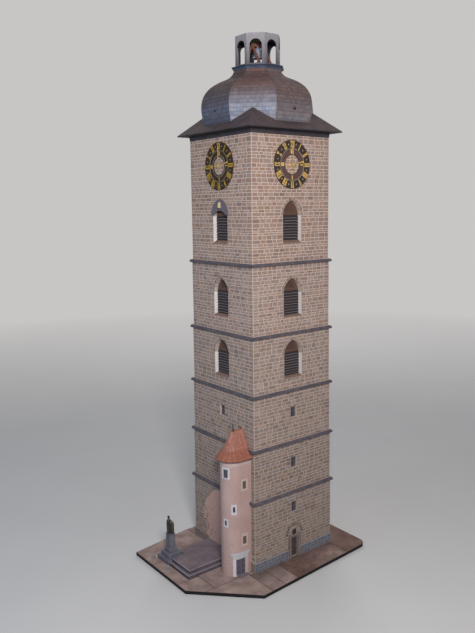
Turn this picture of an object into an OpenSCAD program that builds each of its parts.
// Card model of a clock tower on its base board, about 1:200, in millimetres.
// The tower's axis is the origin and z = 0 is the underside of the base board.
// The entrance face looks along -Y, and the stair turret stands on the -X face.

/* [Base board] */
// Thickness of the board
base_t = 2; // [1:0.5:4]
// Board left of the terrace
base_left_margin = 8.7; // [7:0.1:20]
// Board right of the tower
base_right_margin = 18.6; // [10:0.1:40]
// Board behind the tower
base_back_margin = 11.1; // [8:0.1:30]
// Board before the tower, at the cut corner
base_front_margin = 22.9; // [14:0.1:40]
// Slant of the front edge, from the cut corner to the right end
base_front_slant = 6; // [0:0.5:10]
// Cut corner at the front left
base_chamfer = 34.3; // [10:0.1:36]
// Slant of the back edge at its left end
base_back_slant = 6.2; // [0:0.1:10]
// Length of that slant along the back edge
base_back_slant_l = 44; // [10:1:60]
// Radius of the two right corners
base_corner_r = 6; // [2:0.5:9]

/* [Tower] */
// Width of the lowest storey
tower_w = 67.2; // [60:0.1:76]
// Set-back of each storey on each side
storey_step = 0.36; // [0:0.02:0.6]
// Thickness of the folded walls
wall_t = 1.5; // [1:0.1:2.4]
// Height of the tower walls, from the board to the strip under the eaves
tower_h = 274.3; // [270:0.1:310]
// Height of storey 1, up to the top of its string course
storey_1_h = 47.35; // [44:0.05:60]
// Height of storey 2
storey_2_h = 34; // [30:0.05:45]
// Height of storey 3
storey_3_h = 34.75; // [28:0.05:45]
// Height of storey 4
storey_4_h = 37.2; // [36:0.05:50]
// Height of storey 5
storey_5_h = 44.4; // [38:0.05:60]
// Height of a string course
course_h = 1.8; // [1:0.1:3]
// Projection of a string course
course_proud = 1.3; // [0.5:0.1:2]
// Fall of a string course's top edge
course_fall = 0.6; // [0.2:0.1:0.9]
// Height of the plinth
plinth_h = 6; // [4:0.1:9]
// Projection of the plinth
plinth_proud = 0.5; // [0.2:0.1:1]
// Height of the strip under the eaves
cornice_h = 3.1; // [2:0.1:5]
// Projection of that strip
cornice_proud = 0.4; // [0.2:0.1:1]

/* [Belfry windows] */
// Clear width of an arched window
window_w = 15; // [10:0.1:18]
// Clear height of an arched window in storeys 4 and 5
window_h = 24; // [20:0.1:26]
// How much taller the windows of the clock storey are
window_6_more = 2.1; // [0:0.1:4]
// Radius of the arch as a share of the width, 0.5 is a half circle
arch_ratio = 0.67; // [0.5:0.01:0.8]
// Sill of the window in storey 4 above the storey's foot
sill_4 = 7.8; // [5:0.1:10]
// Sill of the window in storey 5
sill_5 = 10.1; // [5:0.1:12]
// Sill of the window in storey 6
sill_6 = 11.9; // [5:0.1:15]
// Depth of the reveal from the wall's face to the louvres
reveal_d = 3; // [2:0.1:5]
// Thickness of the reveal
reveal_t = 0.6; // [0.4:0.1:1]
// Height of the field of slats
slat_rise = 15.6; // [10:0.1:16]
// Number of louvre slats
slat_n = 9; // [5:1:12]
// Thickness of a slat
slat_t = 0.5; // [0.3:0.05:0.7]
// Tilt of a slat
slat_tilt = 60; // [20:1:70]
// Thickness of the louvre's back panel
panel_t = 0.6; // [0.4:0.1:1.2]

/* [Bell hood] */
// Width of the hood over the clock storey's left window
hood_w = 17.8; // [16.8:0.1:20]
// Radius of the hood's outline as a share of its width
hood_ratio = 0.56; // [0.5:0.01:0.8]
// Width of the gap under the hood
hood_gap_w = 13; // [9:0.1:14.5]
// Rise of that gap
hood_gap_h = 2.8; // [2:0.1:5]
// Thickness of the hood
hood_t = 0.5; // [0.3:0.1:0.8]
// Height of the hood's point over the crown of the window
hood_lift = 1.1; // [0.2:0.1:1.5]
// Diameter of the bell in relief on the hood
bell_d = 2.6; // [2:0.1:4.5]
// Height of the bell
bell_h = 3.8; // [2.4:0.1:4.5]
// Drop of the bell's top below the hood's point
bell_drop = 1.7; // [1.6:0.1:2.6]

/* [Slit windows] */
// Width of a slit window
slit_w = 5.2; // [3:0.1:7]
// Height of a slit window
slit_h = 7.2; // [5:0.1:10]
// Sill of the slit in storey 1 above the storey's foot
slit_sill_1 = 32.1; // [28:0.1:34]
// Sill of the slits in storeys 2 and 3
slit_sill = 15.5; // [10:0.1:17]
// Thickness of the panes behind the slits
pane_t = 0.5; // [0.3:0.1:1]
// Margin of a pane round its opening
pane_margin = 1; // [0.6:0.1:2]

/* [Entrance] */
// Width of the entrance door
door_w = 6; // [4:0.1:8]
// Height of the entrance door
door_h = 13.8; // [10:0.1:14]
// Height of the threshold
threshold_h = 0.7; // [0.4:0.1:1.5]
// Width of the stone frame
door_frame_w = 2.2; // [1.2:0.1:3]
// Projection of the stone frame
door_frame_proud = 0.7; // [0.6:0.1:1.2]
// Setting of the door behind the wall's face
door_set = 0.7; // [0.4:0.1:0.9]
// Thickness of the door leaf
door_t = 0.6; // [0.4:0.1:0.8]
// Number of planks in the door
plank_n = 4; // [2:1:6]
// Width of the grooves between planks
groove_w = 0.12; // [0.08:0.02:0.3]
// Depth of those grooves
groove_d = 0.15; // [0.1:0.05:0.3]
// Width of the light over the door
fanlight_w = 3.4; // [2:0.1:5]
// Height of the light over the door
fanlight_h = 3.2; // [2:0.1:5]
// Wall between the door and its light
fanlight_gap = 1.6; // [1.5:0.1:3]

/* [Clock] */
// Diameter of a dial
dial_d = 29.4; // [24:0.1:34]
// Radial width of the numeral ring
numeral_ring_w = 5.1; // [4:0.1:7]
// Inner diameter of the inner ring
inner_ring_d = 11.6; // [8:0.1:14]
// Thickness of the numeral ring
dial_t = 0.5; // [0.3:0.1:1]
// Thickness of the inner ring
inner_ring_t = 0.3; // [0.2:0.1:0.8]
// Share of the wall left over above the window that lies over the dial
dial_place = 0.29; // [0.1:0.01:0.6]
// Thickness of the hands
hand_t = 0.3; // [0.2:0.05:0.6]
// Length of the minute hand
minute_l = 12.4; // [9:0.1:13]
// Length of the hour hand
hour_l = 8.6; // [6:0.1:9]
// Half width of the minute hand
minute_w = 0.3; // [0.2:0.05:0.6]
// Half width of the hour hand
hour_w = 0.35; // [0.3:0.05:0.8]
// Diameter of the boss that carries the hands
boss_d = 2.2; // [1.5:0.1:4]
// Direction of the hour hand, clockwise from the top
hour_angle = 78; // [0:1:360]
// Direction of the minute hand, clockwise from the top
minute_angle = 0; // [0:1:360]

/* [Roof] */
// Overhang of the eaves beyond the top storey
eaves_overhang = 6; // [3:0.1:8]
// Thickness of the eaves board
eaves_t = 0.6; // [0.4:0.1:1.2]
// Rise of the skirt for each unit of run
skirt_pitch = 0.9; // [0.7:0.05:1.1]
// Thickness of the skirt, measured upright
skirt_t = 1; // [0.6:0.1:1.5]
// Half width across flats of the dome's foot
dome_foot = 32.9; // [30:0.1:34]
// Height of the dome above the eaves board
dome_h = 38; // [32:0.5:46]
// How far the belly's curve is drawn out beyond the foot
dome_belly = 5; // [2:0.1:6]
// How far its shoulder is drawn in behind the foot
dome_shoulder = 2.3; // [0:0.1:4]
// How far the hollow under the neck is drawn out
dome_hollow = 1.6; // [1:0.1:4]
// Half width across flats of the dome's neck
dome_neck = 14.5; // [12:0.1:16]
// Thickness of the dome's shell
dome_t = 1.2; // [0.8:0.1:2]
// Size of the little vents in the dome
vent_w = 1.5; // [1:0.1:2.5]
// Height of the vents above the eaves board
vent_rise = 12; // [9:0.1:20]
// Setting of the vents behind the dome's face
vent_set = 0.4; // [0.2:0.1:0.6]

/* [Lantern] */
// Height of the flared collar
collar_h = 2.3; // [1.5:0.1:4]
// Flare of the collar beyond the neck
collar_flare = 1.6; // [1:0.1:3]
// Half width across flats of the lantern
lantern_half = 13.7; // [12:0.1:14]
// Height of the lantern wall
lantern_h = 18.7; // [16:0.1:24]
// Thickness of the lantern wall
lantern_t = 0.9; // [0.6:0.1:1.4]
// Width of the lantern's arches
lantern_arch_w = 7.6; // [5:0.1:8]
// Wall above the crown of an arch
lantern_head = 3.5; // [2:0.1:5]
// Sill below the arches
lantern_sill = 1; // [0.6:0.1:3]
// Thickness of the lid that closes the lantern
lid_t = 0.6; // [0.4:0.1:1]
// Thickness of the struts in the lantern
strut_t = 1; // [0.6:0.1:1.6]
// Height at which the struts meet
strut_rise = 14; // [8:0.1:15]
// Distance of the struts' feet from the lantern wall
strut_inset = 3.5; // [1:0.1:5]
// Distance between the two pairs of struts
strut_gap = 9.2; // [8.6:0.1:12]
// Diameter of the bell between the struts
lantern_bell_d = 7.2; // [5:0.1:7.4]
// Height of that bell
lantern_bell_h = 7; // [5:0.1:9]

/* [Turret] */
// Radius of the turret's round front
turret_r = 8; // [6.5:0.1:8.8]
// Straight side of the turret, from the tower's wall to the round front
turret_straight = 8.3; // [6:0.1:12]
// Distance of the turret's middle from the tower's front corner
turret_inset = 11.8; // [11:0.1:14]
// Height of the turret wall
turret_h = 76.5; // [70:0.1:80]
// Thickness of the turret wall
turret_t = 1.2; // [0.8:0.1:1.8]
// Overhang of the turret's eaves
turret_overhang = 2.3; // [1:0.1:2.4]
// Height of the turret roof
turret_roof_h = 16.7; // [12:0.1:22]
// Radius where the roof's flare begins
flare_r = 5.9; // [4:0.1:7]
// Height of the flare
flare_h = 5.6; // [3:0.1:7]
// Thickness of the turret roof's edge
turret_edge_t = 0.5; // [0.3:0.1:1]
// Thickness of the turret roof at its ridge
turret_roof_t = 2.4; // [1.5:0.1:4]
// Ledge of the roof inside the turret's wall
turret_ledge = 1; // [0.5:0.1:2]
// Length of the finial above the roof
finial_l = 5; // [3:0.1:8]
// Diameter of the finial
finial_d = 0.9; // [0.6:0.1:1.4]
// Distance of the finial from the ridge's end, towards the tower
finial_shift = 1.1; // [0:0.1:3]
// Width of a turret window
turret_window_w = 2.4; // [1.4:0.1:3]
// Height of a turret window
turret_window_h = 4.8; // [3.4:0.1:6]
// Width of a turret window's frame
turret_frame_w = 1.2; // [0.6:0.1:1.6]
// Projection of the turret's frames
turret_frame_proud = 0.4; // [0.2:0.1:0.8]
// Direction of the top window, from the left end of the round front
top_window_angle = 22; // [15:1:30]
// Drop of the top window's sill below the eaves
top_window_drop = 11.3; // [8:0.1:14]
// Direction of the middle window
middle_window_angle = 60; // [50:1:70]
// Sill of the middle window
middle_window_sill = 42.6; // [40:0.1:46]
// Direction of the low window
low_window_angle = 20; // [15:1:30]
// Sill of the low window
low_window_sill = 33.4; // [28:0.1:35]
// Sill of the upper window in the straight side
side_window_top = 57.6; // [50:0.1:62]
// Sill of the lower window in the straight side
side_window_low = 20.6; // [19.5:0.1:26]
// Shift of those two windows towards the round front
side_window_shift = 0.8; // [0:0.1:1.5]
// Width of the turret door
turret_door_w = 6.4; // [4:0.1:7]
// Height of the turret door
turret_door_h = 11; // [9:0.1:13]
// Width of the turret door's frame
turret_door_frame_w = 2.2; // [1.4:0.1:3]
// Shift of the door towards the tower
turret_door_shift = 0.6; // [0:0.1:1]
// Setting of the door behind the turret wall's inner face
turret_door_set = 0.4; // [0.2:0.1:0.8]
// Depth of the panels in the door
turret_panel_d = 0.2; // [0.1:0.05:0.4]
// Height of the turret door's cornice
turret_cornice_h = 1.6; // [1:0.1:2.5]
// Reach of the cornice beyond the frame
turret_cornice_reach = 0.6; // [0.3:0.1:1.2]
// Height of the step at the turret door
turret_step_h = 0.9; // [0.5:0.1:1.5]
// Depth of that step
turret_step_d = 2.8; // [2:0.1:5]
// Reach of the step beyond the door on each side
turret_step_side = 0.4; // [0.2:0.1:1]

/* [Terrace and monument] */
// Reach of the terrace from the tower's wall
terrace_reach = 37.4; // [30:0.1:44]
// Gap between the turret and the front edge of the terrace
terrace_gap = 1; // [0.4:0.1:4]
// Depth of the terrace along the tower's face
terrace_d = 30; // [24:0.1:34]
// Height of a terrace step
step_h = 2; // [1:0.1:3]
// Tread of a terrace step
step_d = 2.1; // [1:0.1:4]
// Width of the monument's foot
monument_w = 12.9; // [11:0.1:16]
// How far the monument's foot passes the back edge of the terrace
monument_jut = 5.6; // [2:0.1:8]
// How far the monument's foot passes the left edge of the terrace
monument_lip = 1; // [0:0.1:2]
// Height of each of the monument's three lower tiers
tier_h = 3; // [2:0.1:4]
// Set-back of each tier
tier_step = 1.7; // [1:0.1:1.8]
// Width of the pedestal's die
die_w = 4.3; // [3.6:0.1:6]
// Height of the pedestal's die
die_h = 8.4; // [6:0.1:12]
// Height of the cap on the die
die_cap_h = 0.9; // [0.5:0.1:1.5]
// Spread of the die at its foot
die_batter = 0.1; // [0:0.1:0.8]
// Projection of the cap
die_cap_proud = 0.3; // [0.2:0.1:1]
// Height of the statue
statue_h = 12.4; // [9:0.1:16]
// Diameter of a bollard
bollard_d = 2.6; // [1.5:0.1:3]
// Height of a bollard
bollard_h = 3.4; // [2:0.1:5]
// Distance from the terrace's left edge to the bollards
bollard_gap = 4; // [3:0.1:5]
// Spacing of the two bollards
bollard_pitch = 18.3; // [16:0.1:24]
// Shift of the pair from the monument's middle, towards the entrance side
bollard_shift = 2; // [0:0.1:3]

/* [Hidden] */
$fn = 48;
// Clearance between pieces that fit in one another
fit = 0.05;
// Overlap that makes a cut go clean through
eps = 0.2;

// The clock storey takes the height that the others leave
storey_6_h = tower_h - storey_1_h - storey_2_h - storey_3_h - storey_4_h - storey_5_h;
storey_heights = [storey_1_h, storey_2_h, storey_3_h, storey_4_h, storey_5_h, storey_6_h];
function storey_half(i) = tower_w / 2 - (i - 1) * storey_step;
function storey_foot(i) = i <= 1 ? base_t : storey_foot(i - 1) + storey_heights[i - 2];
function storey_top(i) = storey_foot(i) + storey_heights[i - 1];

wall_top = storey_top(6);
eaves_z = wall_top + cornice_h;
roof_z = eaves_z + eaves_t;
eaves_half = storey_half(6) + eaves_overhang;
tower_half = storey_half(1);
hole_w = window_w + 2 * reveal_t;
function window_height(i) = window_h + (i == 6 ? window_6_more : 0);
function hole_height(i) = window_height(i) + 2 * reveal_t;
sills = [0, 0, 0, sill_4, sill_5, sill_6];
crown_6 = storey_foot(6) + sill_6 + window_height(6);
dial_z = wall_top - dial_d / 2 - dial_place * (wall_top - crown_6 - dial_d);

collar_z = roof_z + dome_h;
lantern_z = collar_z + collar_h;
octagon = 1 / cos(22.5);

// Ogee of the dome: heights as shares of its height, and where the belly turns into the neck
ogee_foot = 0.14;
ogee_belly = [0.57, 0.735];
ogee_turn = 0.845;
ogee_turn_share = 0.335;
ogee_neck = [0.885, 0.98];
belly_steps = 10;
neck_steps = 5;

turret_x = -(tower_half + turret_straight);
turret_y = turret_inset - tower_half;
turret_top = base_t + turret_h;
turret_wall_x = turret_r + turret_straight;
turret_door_x = turret_x + turret_door_shift;
turret_windows = [
    [top_window_angle, turret_h - top_window_drop],
    [middle_window_angle, middle_window_sill],
    [low_window_angle, low_window_sill]
];
turret_side_windows = [side_window_top, side_window_low];
turret_side_window_x = turret_x + turret_straight / 2 - side_window_shift;

terrace_left = -(tower_half + terrace_reach);
terrace_front = turret_y + turret_r + terrace_gap;
terrace_back = terrace_front + terrace_d;
monument_x = terrace_left - monument_lip + monument_w / 2;
monument_y = terrace_back + monument_jut - monument_w / 2;
die_z = base_t + 3 * tier_h;
statue_z = die_z + die_h + die_cap_h;

ink = "#26282b";
card_white = "#d9d4cb";
stone = "#8c7a68";
slate = "#3a3d42";
sheet_metal = "#6f6d70";
plaster = "#d79a85";
tile = "#b4552f";
gold = "#c9a13b";
paving = "#b09384";
granite = "#6d6a70";

// Places a child on a face: 0 front, 1 right, 2 back, 3 left, with y = 0 on the face and -y outwards
module on_face(side, half) {
    rotate([0, 0, 90 * side]) translate([0, -half, 0]) children();
}

// Turns an outline drawn in width and height into a plate from y0 to y1
module upright(y0, y1) {
    translate([0, y1, 0]) rotate([90, 0, 0]) linear_extrude(y1 - y0) children();
}

module centred_box(w, d, h) {
    translate([-w / 2, -d / 2, 0]) cube([w, d, h]);
}

// Square block whose half width goes from half_0 at its foot to half_1 at its top
module square_frustum(half_0, half_1, h) {
    reach = 2 * max(half_0, half_1) + eps;
    outline = [[-half_0, 0], [half_0, 0], [half_1, h], [-half_1, h]];
    intersection_for (turn = [0, 90])
        rotate([0, 0, turn]) upright(-reach / 2, reach / 2) polygon(outline);
}

// Eight-sided block from an outline of half widths across flats and heights
module octagon_solid(profile) {
    reach = 4 * max([for (p = profile) p[0]]);
    outline = concat(profile, [for (i = [len(profile) - 1:-1:0]) [-profile[i][0], profile[i][1]]]);
    intersection_for (turn = [0:45:135])
        rotate([0, 0, turn]) upright(-reach / 2, reach / 2) polygon(outline);
}

// Pointed arch, standing on the x axis
module arch(w, h, ratio = arch_ratio) {
    r = ratio * w;
    rise = sqrt(r * r - pow(r - w / 2, 2));
    translate([-w / 2, 0]) square([w, h - rise]);
    translate([0, h - rise]) intersection() {
        translate([r - w / 2, 0]) circle(r);
        translate([w / 2 - r, 0]) circle(r);
    }
}

// Round arch, standing on the x axis
module round_arch(w, h) {
    translate([-w / 2, 0]) square([w, h - w / 2]);
    translate([0, h - w / 2]) circle(d = w);
}

// Points of a rounded corner at p, between the sides that run to a and b
function unit(v) = v / norm(v);
function corner(a, p, b, r, n = 8) =
    let (
        u = unit(a - p), v = unit(b - p),
        half = acos(u * v) / 2,
        centre = p + unit(u + v) * r / sin(half),
        from = p + u * r / tan(half) - centre,
        sweep = 2 * (90 - half)
    )
    [for (i = [0:n]) let (t = sweep * i / n) centre + [
        from[0] * cos(t) - from[1] * sin(t),
        from[0] * sin(t) + from[1] * cos(t)
    ]];

function bezier(p, t) =
    pow(1 - t, 3) * p[0] + 3 * pow(1 - t, 2) * t * p[1] + 3 * (1 - t) * t * t * p[2] + pow(t, 3) * p[3];

// Ogee outline of the dome, from the eaves board to the neck, grown sideways by grow
function dome_profile(grow) =
    let (
        turn = [dome_neck + ogee_turn_share * (dome_foot - dome_neck), ogee_turn * dome_h],
        belly = [
            [dome_foot, ogee_foot * dome_h],
            [dome_foot + dome_belly, ogee_belly[0] * dome_h],
            [dome_foot - dome_shoulder, ogee_belly[1] * dome_h],
            turn
        ],
        neck = [
            turn,
            [dome_neck + dome_hollow, ogee_neck[0] * dome_h],
            [dome_neck, ogee_neck[1] * dome_h],
            [dome_neck, dome_h]
        ],
        points = concat(
            [[dome_foot, 0]],
            [for (i = [0:belly_steps - 1]) bezier(belly, i / belly_steps)],
            [for (i = [0:neck_steps]) bezier(neck, i / neck_steps)]
        )
    )
    [for (p = points) [p[0] + grow, p[1]]];

// Half outline of a bell, from the middle of its mouth to the top of its crown
function bell_outline(r, h) = [
    [0, 0], [r, 0], [0.94 * r, 0.12 * h], [0.72 * r, 0.34 * h], [0.62 * r, 0.66 * h],
    [0.46 * r, 0.86 * h], [0.2 * r, 0.96 * h], [0.2 * r, h], [0, h]
];

// Outline of the base board, counter-clockwise from its back left corner
function base_outline() =
    let (
        left = terrace_left - base_left_margin,
        right = tower_half + base_right_margin,
        back = tower_half + base_back_margin,
        front = -(tower_half + base_front_margin),
        back_left = [left, back - base_back_slant],
        cut_left = [left, front + base_chamfer],
        cut_front = [left + base_chamfer, front],
        front_right = [right, front + base_front_slant],
        back_right = [right, back],
        back_turn = [left + base_back_slant_l, back]
    )
    concat(
        [back_left, cut_left, cut_front],
        corner(cut_front, front_right, back_right, base_corner_r),
        corner(front_right, back_right, back_turn, base_corner_r),
        [back_turn]
    );

module base_board() {
    color(paving) linear_extrude(base_t) polygon(base_outline());
}

module tower_envelope(grow) {
    for (i = [1:6]) {
        width = 2 * (storey_half(i) + grow);
        translate([0, 0, storey_foot(i)]) centred_box(width, width, storey_heights[i - 1] + fit);
    }
}

function has_slit(storey, side) = storey == 3 || side != 3 || storey == 2;
function slit_foot(storey) = storey_foot(storey) + (storey == 1 ? slit_sill_1 : slit_sill);

module storey(i) {
    half = storey_half(i);
    color(stone) difference() {
        translate([0, 0, storey_foot(i)]) difference() {
            centred_box(2 * half, 2 * half, storey_heights[i - 1]);
            translate([0, 0, -eps])
                centred_box(2 * (half - wall_t), 2 * (half - wall_t), storey_heights[i - 1] + 2 * eps);
        }
        if (i >= 4)
            for (side = [0:3]) on_face(side, half) translate([0, 0, storey_foot(i) + sills[i - 1] - reveal_t])
                upright(-eps, wall_t + eps) offset_arch(i, fit);
        if (i <= 3)
            for (side = [0:3]) if (has_slit(i, side)) on_face(side, half) translate([0, 0, slit_foot(i)])
                upright(-eps, wall_t + eps) translate([-slit_w / 2, 0]) square([slit_w, slit_h]);
        if (i == 1) on_face(0, half) entrance_openings();
    }
}

// Hole for the reveal of a window in storey i, with the clearance round it
module offset_arch(i, grow) {
    translate([0, -grow]) arch(hole_w + 2 * grow, hole_height(i) + 2 * grow);
}

module entrance_openings() {
    translate([0, 0, base_t + threshold_h]) upright(-eps, wall_t + eps)
        translate([-door_w / 2, 0]) square([door_w, door_h]);
    translate([0, 0, base_t + threshold_h + door_h + fanlight_gap]) upright(-eps, wall_t + eps)
        translate([-fanlight_w / 2, 0]) square([fanlight_w, fanlight_h]);
}

module string_course(i) {
    half = storey_half(i);
    color(slate) difference() {
        translate([0, 0, storey_top(i) - course_h]) {
            centred_box(2 * (half + course_proud), 2 * (half + course_proud), course_h - course_fall);
            translate([0, 0, course_h - course_fall])
                square_frustum(half + course_proud, half + course_proud - course_fall, course_fall);
        }
        translate([0, 0, storey_top(i) - course_h - eps])
            centred_box(2 * half, 2 * half, course_h + 2 * eps);
        if (i <= 2) turret_envelope(fit);
    }
}

module plinth() {
    outer = tower_half + plinth_proud;
    frame_half = door_w / 2 + door_frame_w + fit;
    color(granite) difference() {
        translate([0, 0, base_t]) centred_box(2 * outer, 2 * outer, plinth_h);
        translate([0, 0, base_t - eps]) centred_box(2 * tower_half, 2 * tower_half, plinth_h + 2 * eps);
        translate([-frame_half, -outer - eps, base_t - eps])
            cube([2 * frame_half, 2 * plinth_proud + eps, plinth_h + 2 * eps]);
        turret_envelope(fit);
        translate([-outer - eps, terrace_front - fit, base_t - eps])
            cube([2 * plinth_proud + eps, terrace_d + 2 * fit, plinth_h + 2 * eps]);
    }
}

module top_cornice() {
    half = storey_half(6);
    color(slate) translate([0, 0, wall_top]) difference() {
        square_frustum(half, half + cornice_proud, cornice_h);
        translate([0, 0, -eps]) centred_box(2 * (half - wall_t), 2 * (half - wall_t), cornice_h + 2 * eps);
    }
}

// Tubes that line the four windows of a storey
module window_reveals(i) {
    color(card_white) for (side = [0:3])
        on_face(side, storey_half(i)) translate([0, 0, storey_foot(i) + sills[i - 1] - reveal_t])
            upright(0, reveal_d) difference() {
                arch(hole_w, hole_height(i));
                translate([0, reveal_t]) arch(window_w, window_height(i));
            }
}

// Louvred panels at the back of the reveals, with a field of slats midway in the opening's extra height
module louvres(i) {
    slat_w = window_w - 2 * fit;
    slat_foot = (window_height(i) - window_h) / 2;
    pitch = slat_rise / slat_n;
    lap = 0.8;
    slat_l = lap * min(pitch / sin(slat_tilt), reveal_d / cos(slat_tilt));
    color(slate) for (side = [0:3])
        on_face(side, storey_half(i)) translate([0, 0, storey_foot(i) + sills[i - 1]]) {
            translate([0, 0, -reveal_t]) upright(reveal_d, reveal_d + panel_t) arch(hole_w, hole_height(i));
            intersection() {
                upright(0, reveal_d + panel_t) arch(slat_w, window_height(i) - fit);
                for (k = [0:slat_n - 1])
                    translate([0, reveal_d + panel_t / 2, slat_foot + (k + lap) * pitch])
                        rotate([slat_tilt, 0, 0])
                            translate([-slat_w / 2, -slat_l, -slat_t / 2]) cube([slat_w, slat_l, slat_t]);
            }
        }
}

// Places a child on the left face at the point of the bell hood
module at_hood() {
    on_face(3, storey_half(6)) translate([0, 0, crown_6 + hood_lift]) children();
}

// Pointed sheet over the head of the left window, with an arched gap below
module bell_hood() {
    r = hood_ratio * hood_w;
    hood_h = sqrt(r * r - pow(r - hood_w / 2, 2));
    gap_r = (pow(hood_gap_w / 2, 2) + pow(hood_gap_h, 2)) / (2 * hood_gap_h);
    color(sheet_metal) at_hood() upright(-hood_t, 0) translate([0, -hood_h]) difference() {
        intersection() {
            translate([0, -hood_h]) arch(hood_w, 2 * hood_h, hood_ratio);
            translate([-hood_w / 2, 0]) square([hood_w, hood_h]);
        }
        translate([0, hood_gap_h - gap_r]) circle(gap_r);
    }
}

// Half of a bell, in relief on the hood
module hood_bell() {
    color(gold) at_hood() translate([0, -hood_t, -bell_drop - bell_h]) intersection() {
        rotate_extrude() polygon(bell_outline(bell_d / 2, bell_h));
        translate([-bell_d, -2 * bell_d, 0]) cube([2 * bell_d, 2 * bell_d, bell_h]);
    }
}

// Dark panes behind the slit windows and the light over the door
module slit_panes() {
    color(ink) {
        for (i = [1:3], side = [0:3]) if (has_slit(i, side))
            on_face(side, storey_half(i)) translate([0, 0, slit_foot(i)]) pane(slit_w, slit_h);
        on_face(0, tower_half) translate([0, 0, base_t + threshold_h + door_h + fanlight_gap])
            pane(fanlight_w, fanlight_h);
    }
}

module pane(w, h) {
    upright(wall_t, wall_t + pane_t)
        translate([-w / 2 - pane_margin, -pane_margin]) square([w + 2 * pane_margin, h + 2 * pane_margin]);
}

module entrance_frame() {
    half = door_w / 2 + door_frame_w;
    top = threshold_h + door_h;
    color(card_white) on_face(0, tower_half) translate([0, 0, base_t]) {
        upright(-door_frame_proud, 0) difference() {
            translate([-half, 0]) square([2 * half, top + door_frame_w / 2]);
            translate([-door_w / 2, threshold_h]) square([door_w, door_h]);
        }
    }
}

module entrance_door() {
    leaf_w = door_w - 2 * fit;
    color(slate) on_face(0, tower_half) translate([0, 0, base_t + threshold_h]) difference() {
        upright(door_set, door_set + door_t) translate([-leaf_w / 2, 0]) square([leaf_w, door_h - fit]);
        for (k = [1:plank_n - 1])
            translate([-leaf_w / 2 + k * leaf_w / plank_n - groove_w / 2, door_set - eps, -eps])
                cube([groove_w, eps + groove_d, door_h + 2 * eps]);
    }
}

// Numeral ring, inner ring and four bars, all on the wall's face
module clock_dials() {
    ring_r = dial_d / 2 - numeral_ring_w;
    color(ink) for (side = [0:3])
        on_face(side, storey_half(6)) translate([0, 0, dial_z]) {
            upright(-dial_t, 0) difference() {
                circle(d = dial_d, $fn = 96);
                circle(ring_r, $fn = 96);
            }
            upright(-inner_ring_t, 0) difference() {
                circle(ring_r + eps, $fn = 96);
                circle(d = inner_ring_d, $fn = 96);
            }
        }
}

// One hand: a bar that narrows to a point, drawn towards the top
module hand(length, w) {
    tail = 0.18 * length;
    neck = 0.66 * length;
    barb = 0.76 * length;
    polygon([[-w, -tail], [w, -tail], [0.7 * w, neck], [1.5 * w, barb], [0, length], [-1.5 * w, barb],
             [-0.7 * w, neck]]);
}

module clock_hands() {
    color(gold) for (side = [0:3])
        on_face(side, storey_half(6)) translate([0, 0, dial_z]) {
            upright(-dial_t - hand_t, -dial_t) rotate(-hour_angle) hand(hour_l, hour_w);
            upright(-dial_t - 2 * hand_t, -dial_t - hand_t) rotate(-minute_angle) hand(minute_l, minute_w);
            upright(-dial_t - 3 * hand_t, 0) circle(d = boss_d);
        }
}

module eaves_board() {
    color(slate) translate([0, 0, eaves_z]) centred_box(2 * eaves_half, 2 * eaves_half, eaves_t);
}

// Hipped skirt that runs up against the dome, with broaches at its corners
module roof_skirt() {
    run = eaves_half / 2;
    rise = run * skirt_pitch;
    color(sheet_metal) translate([0, 0, roof_z]) difference() {
        square_frustum(eaves_half, eaves_half - run, rise);
        translate([0, 0, -eps]) square_frustum(eaves_half - (skirt_t - eps) / skirt_pitch,
            eaves_half - run - (skirt_t - eps) / skirt_pitch, rise);
        octagon_solid(concat([[dome_foot + fit, -eps]], dome_profile(fit)));
    }
}

module dome() {
    color(sheet_metal) translate([0, 0, roof_z]) difference() {
        octagon_solid(dome_profile(0));
        octagon_solid(concat([[dome_foot - dome_t, -eps]], dome_profile(-dome_t),
            [[dome_neck - dome_t, dome_h + eps]]));
        dome_vent_cuts(fit);
    }
}

module dome_vent_cuts(grow) {
    reach = dome_foot + dome_belly;
    for (turn = [0:90:270])
        rotate([0, 0, turn]) translate([-vent_w / 2 - grow, -reach, vent_rise - vent_w / 2 - grow])
            cube([vent_w + 2 * grow, reach - dome_neck, vent_w + 2 * grow]);
}

// Small dark shutters in the dome's four main faces
module dome_vents() {
    color(ink) translate([0, 0, roof_z]) intersection() {
        dome_vent_cuts(0);
        difference() {
            octagon_solid(dome_profile(-vent_set));
            octagon_solid(concat([[dome_foot - dome_t, -eps]], dome_profile(-dome_t),
                [[dome_neck - dome_t, dome_h + eps]]));
        }
    }
}

module lantern_collar() {
    color(slate) translate([0, 0, collar_z]) octagon_solid([
        [dome_neck, 0],
        [dome_neck + 0.3 * collar_flare, 0.5 * collar_h],
        [dome_neck + collar_flare, 0.85 * collar_h],
        [dome_neck + collar_flare, collar_h]
    ]);
}

// Open eight-sided lantern with a round arch in each side
module lantern() {
    inner = lantern_half - lantern_t;
    arch_h = lantern_h - lantern_sill - lantern_head;
    color(card_white) translate([0, 0, lantern_z]) difference() {
        rotate([0, 0, 22.5]) cylinder(r = lantern_half * octagon, h = lantern_h, $fn = 8);
        translate([0, 0, -eps]) rotate([0, 0, 22.5])
            cylinder(r = inner * octagon, h = lantern_h + 2 * eps, $fn = 8);
        for (turn = [0:45:315]) rotate([0, 0, turn]) translate([0, -lantern_half, lantern_sill])
            upright(-eps, lantern_t + eps) round_arch(lantern_arch_w, arch_h);
    }
}

// Flat lid set between the walls of the lantern
module lantern_lid() {
    color(card_white) translate([0, 0, lantern_z + lantern_h - lid_t]) rotate([0, 0, 22.5])
        cylinder(r = (lantern_half - lantern_t) * octagon, h = lid_t, $fn = 8);
}

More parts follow.
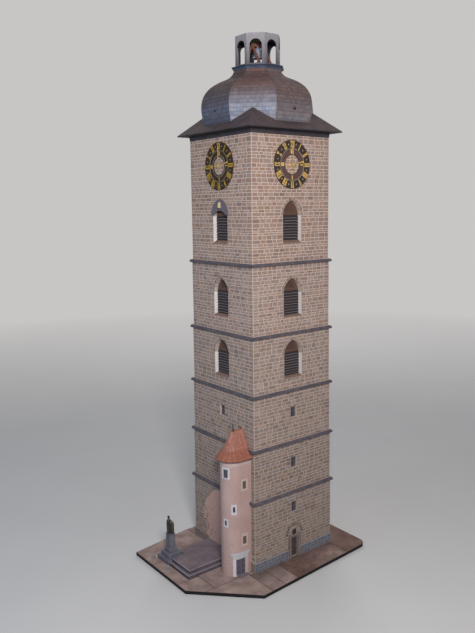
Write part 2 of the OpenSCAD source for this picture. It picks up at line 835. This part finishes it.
// Two pairs of leaning struts inside the lantern, joined by a headstock
module lantern_struts() {
    spread = lantern_half - lantern_t - strut_inset;
    color("#6b4436") translate([0, 0, lantern_z]) rotate([0, 0, 90]) {
        for (side = [-1, 1]) translate([0, side * strut_gap / 2, 0]) upright(-strut_t / 2, strut_t / 2)
            for (m = [0, 1]) mirror([m, 0]) polygon([
                [spread, 0], [spread - 1.4 * strut_t, 0],
                [0, strut_rise - strut_t], [0, strut_rise + strut_t]
            ]);
        upright(-strut_gap / 2, strut_gap / 2) translate([-strut_t / 2, strut_rise - strut_t])
            square([strut_t, 2 * strut_t]);
    }
}

// Bell under the headstock
module lantern_bell() {
    color(slate) translate([0, 0, lantern_z + strut_rise - strut_t - lantern_bell_h])
        rotate_extrude() polygon(bell_outline(lantern_bell_d / 2, lantern_bell_h));
}

// Plan of the turret, grown by grow, running back into the tower
module turret_plan(grow) {
    translate([turret_x, turret_y]) {
        circle(turret_r + grow, $fn = 96);
        translate([0, -turret_r - grow]) square([turret_wall_x, 2 * (turret_r + grow)]);
    }
}

// Half outline of the turret roof: radius and height above the wall
function turret_roof_profile(grow) = [
    [0, 0],
    [turret_r + turret_overhang + grow, 0],
    [turret_r + turret_overhang + grow, turret_edge_t],
    [flare_r + grow, flare_h],
    [finial_d / 2 + grow, turret_roof_h + grow],
    [0, turret_roof_h + grow]
];

module turret_roof_body(grow) {
    profile = turret_roof_profile(grow);
    translate([turret_x, turret_y, turret_top]) {
        rotate_extrude($fn = 96) polygon(profile);
        rotate([90, 0, 90]) linear_extrude(turret_wall_x)
            polygon(concat(profile, [for (i = [4:-1:1]) [-profile[i][0], profile[i][1]]]));
    }
}

module turret_envelope(grow) {
    translate([0, 0, base_t - eps]) linear_extrude(turret_h + eps) turret_plan(grow);
    turret_roof_body(grow);
}

module turret_wall() {
    color(plaster) difference() {
        translate([0, 0, base_t]) linear_extrude(turret_h) difference() {
            turret_plan(0);
            turret_plan(-turret_t);
        }
        tower_envelope(0);
        turret_openings();
    }
}

// Places a child at an angle round the turret's front, with y = 0 on its face
module on_turret(angle, z) {
    translate([turret_x, turret_y, base_t + z]) rotate([0, 0, angle - 90])
        translate([0, -turret_r, 0]) children();
}

// Places a child on the turret's straight side that looks along -Y
module on_turret_side(x, z) {
    translate([x, turret_y - turret_r, base_t + z]) children();
}

module window_outline(grow) {
    translate([-turret_window_w / 2 - grow, -grow])
        square([turret_window_w + 2 * grow, turret_window_h + 2 * grow]);
}

module turret_openings() {
    for (w = turret_windows) on_turret(w[0], w[1]) upright(-2 * eps, turret_t + 2 * eps) window_outline(0);
    for (z = turret_side_windows) on_turret_side(turret_side_window_x, z)
        upright(-eps, turret_t + 2 * eps) window_outline(0);
    on_turret_side(turret_door_x, turret_step_h) upright(-eps, 3 * turret_t)
        translate([-turret_door_w / 2, 0]) square([turret_door_w, turret_door_h]);
}

// Raised frames round the turret's windows, bent to its wall
module turret_window_frames() {
    color(card_white) difference() {
        intersection() {
            translate([0, 0, base_t]) linear_extrude(turret_h) difference() {
                turret_plan(turret_frame_proud);
                turret_plan(0);
            }
            union() {
                for (w = turret_windows) on_turret(w[0], w[1]) upright(-2, 2) window_outline(turret_frame_w);
                for (z = turret_side_windows) on_turret_side(turret_side_window_x, z)
                    upright(-2, 2) window_outline(turret_frame_w);
            }
        }
        for (w = turret_windows) on_turret(w[0], w[1]) upright(-4, 4) window_outline(0);
        for (z = turret_side_windows)
            on_turret_side(turret_side_window_x, z) upright(-4, 4) window_outline(0);
    }
}

// Dark panes inside the turret's windows
module turret_panes() {
    // the round wall's inner face falls back by this much at the edges of a pane
    inner_r = turret_r - turret_t;
    bow = inner_r - sqrt(inner_r * inner_r - pow(turret_window_w / 2 + pane_margin / 2, 2));
    color(ink) {
        for (w = turret_windows) on_turret(w[0], w[1]) upright(turret_t + bow, turret_t + bow + pane_t)
            window_outline(pane_margin / 2);
        for (z = turret_side_windows) on_turret_side(turret_side_window_x, z)
            upright(turret_t, turret_t + pane_t) window_outline(pane_margin);
    }
}

// Plaster frame of the turret door with a cornice over it
module turret_door_frame() {
    half = turret_door_w / 2 + turret_door_frame_w;
    top = turret_step_h + turret_door_h + turret_door_frame_w;
    color(card_white) difference() {
        intersection() {
            translate([0, 0, base_t]) linear_extrude(turret_h) difference() {
                turret_plan(2 * turret_frame_proud);
                turret_plan(0);
            }
            union() {
                on_turret_side(turret_door_x, 0) upright(-turret_frame_proud, turret_r)
                    translate([-half, 0]) square([2 * half, top]);
                on_turret_side(turret_door_x, top) upright(-2 * turret_frame_proud, turret_r)
                    translate([-half - turret_cornice_reach, 0])
                        square([2 * (half + turret_cornice_reach), turret_cornice_h]);
            }
        }
        on_turret_side(turret_door_x, -eps) upright(-2, turret_r)
            translate([-turret_door_w / 2, 0]) square([turret_door_w, turret_step_h + turret_door_h + eps]);
        tower_envelope(0);
    }
}

module turret_door() {
    leaf_w = turret_door_w - 2 * fit;
    face = turret_t + turret_door_set;
    panel_h = 0.36 * turret_door_h;
    color(slate) on_turret_side(turret_door_x, turret_step_h) difference() {
        upright(face, face + door_t) translate([-leaf_w / 2, 0]) square([leaf_w, turret_door_h - fit]);
        for (side = [-1, 1], row = [0, 1]) {
            middle_z = turret_door_h / 4 * (1 + 2 * row);
            translate([side * leaf_w / 4 - leaf_w / 6, face - eps, middle_z - panel_h / 2])
                cube([leaf_w / 3, eps + turret_panel_d, panel_h]);
        }
    }
}

module turret_step() {
    step_w = turret_door_w + 2 * turret_step_side;
    color(granite) difference() {
        translate([turret_door_x - step_w / 2, turret_y - turret_r - turret_step_d, base_t])
            cube([step_w, turret_step_d + turret_t, turret_step_h]);
        translate([0, 0, base_t - eps]) linear_extrude(turret_step_h + 2 * eps) turret_plan(0);
        translate([0, 0, -eps]) turret_door_frame();
    }
}

// Tiled roof of the turret, with a flare at the eaves, hollow under its slopes
module turret_roof() {
    hollow = turret_r - turret_t - turret_ledge;
    hollow_h = turret_roof_h - turret_roof_t;
    color(tile) difference() {
        turret_roof_body(0);
        translate([turret_x, turret_y, turret_top - eps]) {
            cylinder(r1 = hollow, r2 = finial_d / 4, h = hollow_h);
            rotate([90, 0, 90]) linear_extrude(turret_wall_x)
                polygon([[-hollow, 0], [hollow, 0], [0, hollow_h]]);
        }
        tower_envelope(0);
    }
}

// Rod that stands on the flat top of the turret roof
module turret_finial() {
    color(ink) translate([turret_x + finial_shift, turret_y, turret_top + turret_roof_h])
        cylinder(d1 = finial_d, d2 = 0.7 * finial_d, h = finial_l);
}

module monument_foot(grow) {
    translate([monument_x, monument_y, base_t])
        centred_box(monument_w + 2 * grow, monument_w + 2 * grow, 3 * tier_h);
}

// One course of the terrace, set back by inset from the lowest step's edges
module terrace_course(inset, z) {
    color(granite) difference() {
        translate([terrace_left + inset, terrace_front + inset, z])
            cube([terrace_reach - inset, terrace_d - inset, step_h]);
        monument_foot(0);
    }
}

module terrace_step() {
    terrace_course(0, base_t);
}

module terrace_platform() {
    terrace_course(step_d, base_t + step_h);
}

// Stepped foot, die and cap of the monument
module pedestal() {
    color(granite) translate([monument_x, monument_y, base_t]) {
        for (k = [0:2]) translate([0, 0, k * tier_h])
            centred_box(monument_w - 2 * k * tier_step, monument_w - 2 * k * tier_step, tier_h);
        translate([0, 0, 3 * tier_h]) square_frustum(die_w / 2 + die_batter, die_w / 2, die_h);
        translate([0, 0, 3 * tier_h + die_h])
            square_frustum(die_w / 2, die_w / 2 + die_cap_proud, die_cap_h);
    }
}

// Outlines of the statue as shares of its height: radius and height of the robe and of the draped stump
robe = [[0, 0], [0.125, 0], [0.13, 0.03], [0.1, 0.28], [0.082, 0.5], [0.1, 0.68], [0.095, 0.76],
        [0.045, 0.81], [0.04, 0.86], [0, 0.86]];
drapery = [[0, 0], [0.105, 0], [0.085, 0.25], [0.095, 0.5], [0.07, 0.63], [0, 0.66]];
head_r = 0.075;

// One arm from the shoulder to the elbow to the hand, as shares of the statue's height
module statue_arm(points) {
    for (i = [0:len(points) - 2]) hull() for (p = [points[i], points[i + 1]])
        translate(statue_h * p) sphere(0.032 * statue_h, $fn = 16);
}

// Standing robed figure that rests one hand on a draped stump
module statue() {
    color("#2c332e") translate([monument_x, monument_y, statue_z]) {
        translate([-0.055 * statue_h, 0, 0]) {
            rotate_extrude($fn = 32) polygon(statue_h * robe);
            translate([0, 0, (1 - head_r) * statue_h]) sphere(head_r * statue_h, $fn = 32);
            statue_arm([[0.08, -0.02, 0.74], [0.125, -0.04, 0.63], [0.14, -0.03, 0.62]]);
            statue_arm([[-0.08, -0.02, 0.74], [-0.1, -0.05, 0.58], [-0.02, -0.1, 0.6]]);
        }
        translate([0.085 * statue_h, -0.03 * statue_h, 0])
            rotate_extrude($fn = 32) polygon(statue_h * drapery);
    }
}

module bollards() {
    color(card_white) for (side = [-1, 1])
        translate([terrace_left - bollard_gap, monument_y - bollard_shift + side * bollard_pitch / 2, base_t])
            rotate_extrude($fn = 32) polygon([
                [0, 0], [bollard_d / 2, 0], [bollard_d / 2, 0.15 * bollard_h],
                [0.44 * bollard_d, 0.2 * bollard_h], [0.4 * bollard_d, 0.8 * bollard_h],
                [0.24 * bollard_d, 0.94 * bollard_h], [0, bollard_h]
            ]);
}

base_board();
storey(1);  // storey_1
storey(2);  // storey_2
storey(3);  // storey_3
storey(4);  // storey_4
storey(5);  // storey_5
storey(6);  // storey_6
string_course(1);  // string_course_1
string_course(2);  // string_course_2
string_course(3);  // string_course_3
string_course(4);  // string_course_4
string_course(5);  // string_course_5
plinth();
top_cornice();
window_reveals(4);  // window_reveals_4
window_reveals(5);  // window_reveals_5
window_reveals(6);  // window_reveals_6
louvres(4);  // louvres_4
louvres(5);  // louvres_5
louvres(6);  // louvres_6
bell_hood();
hood_bell();
slit_panes();
entrance_frame();
entrance_door();
clock_dials();
clock_hands();
eaves_board();
roof_skirt();
dome();
dome_vents();
lantern_collar();
lantern();
lantern_lid();
lantern_struts();
lantern_bell();
turret_wall();
turret_window_frames();
turret_panes();
turret_door_frame();
turret_door();
turret_step();
turret_roof();
turret_finial();
terrace_step();
terrace_platform();
pedestal();
statue();
bollards();
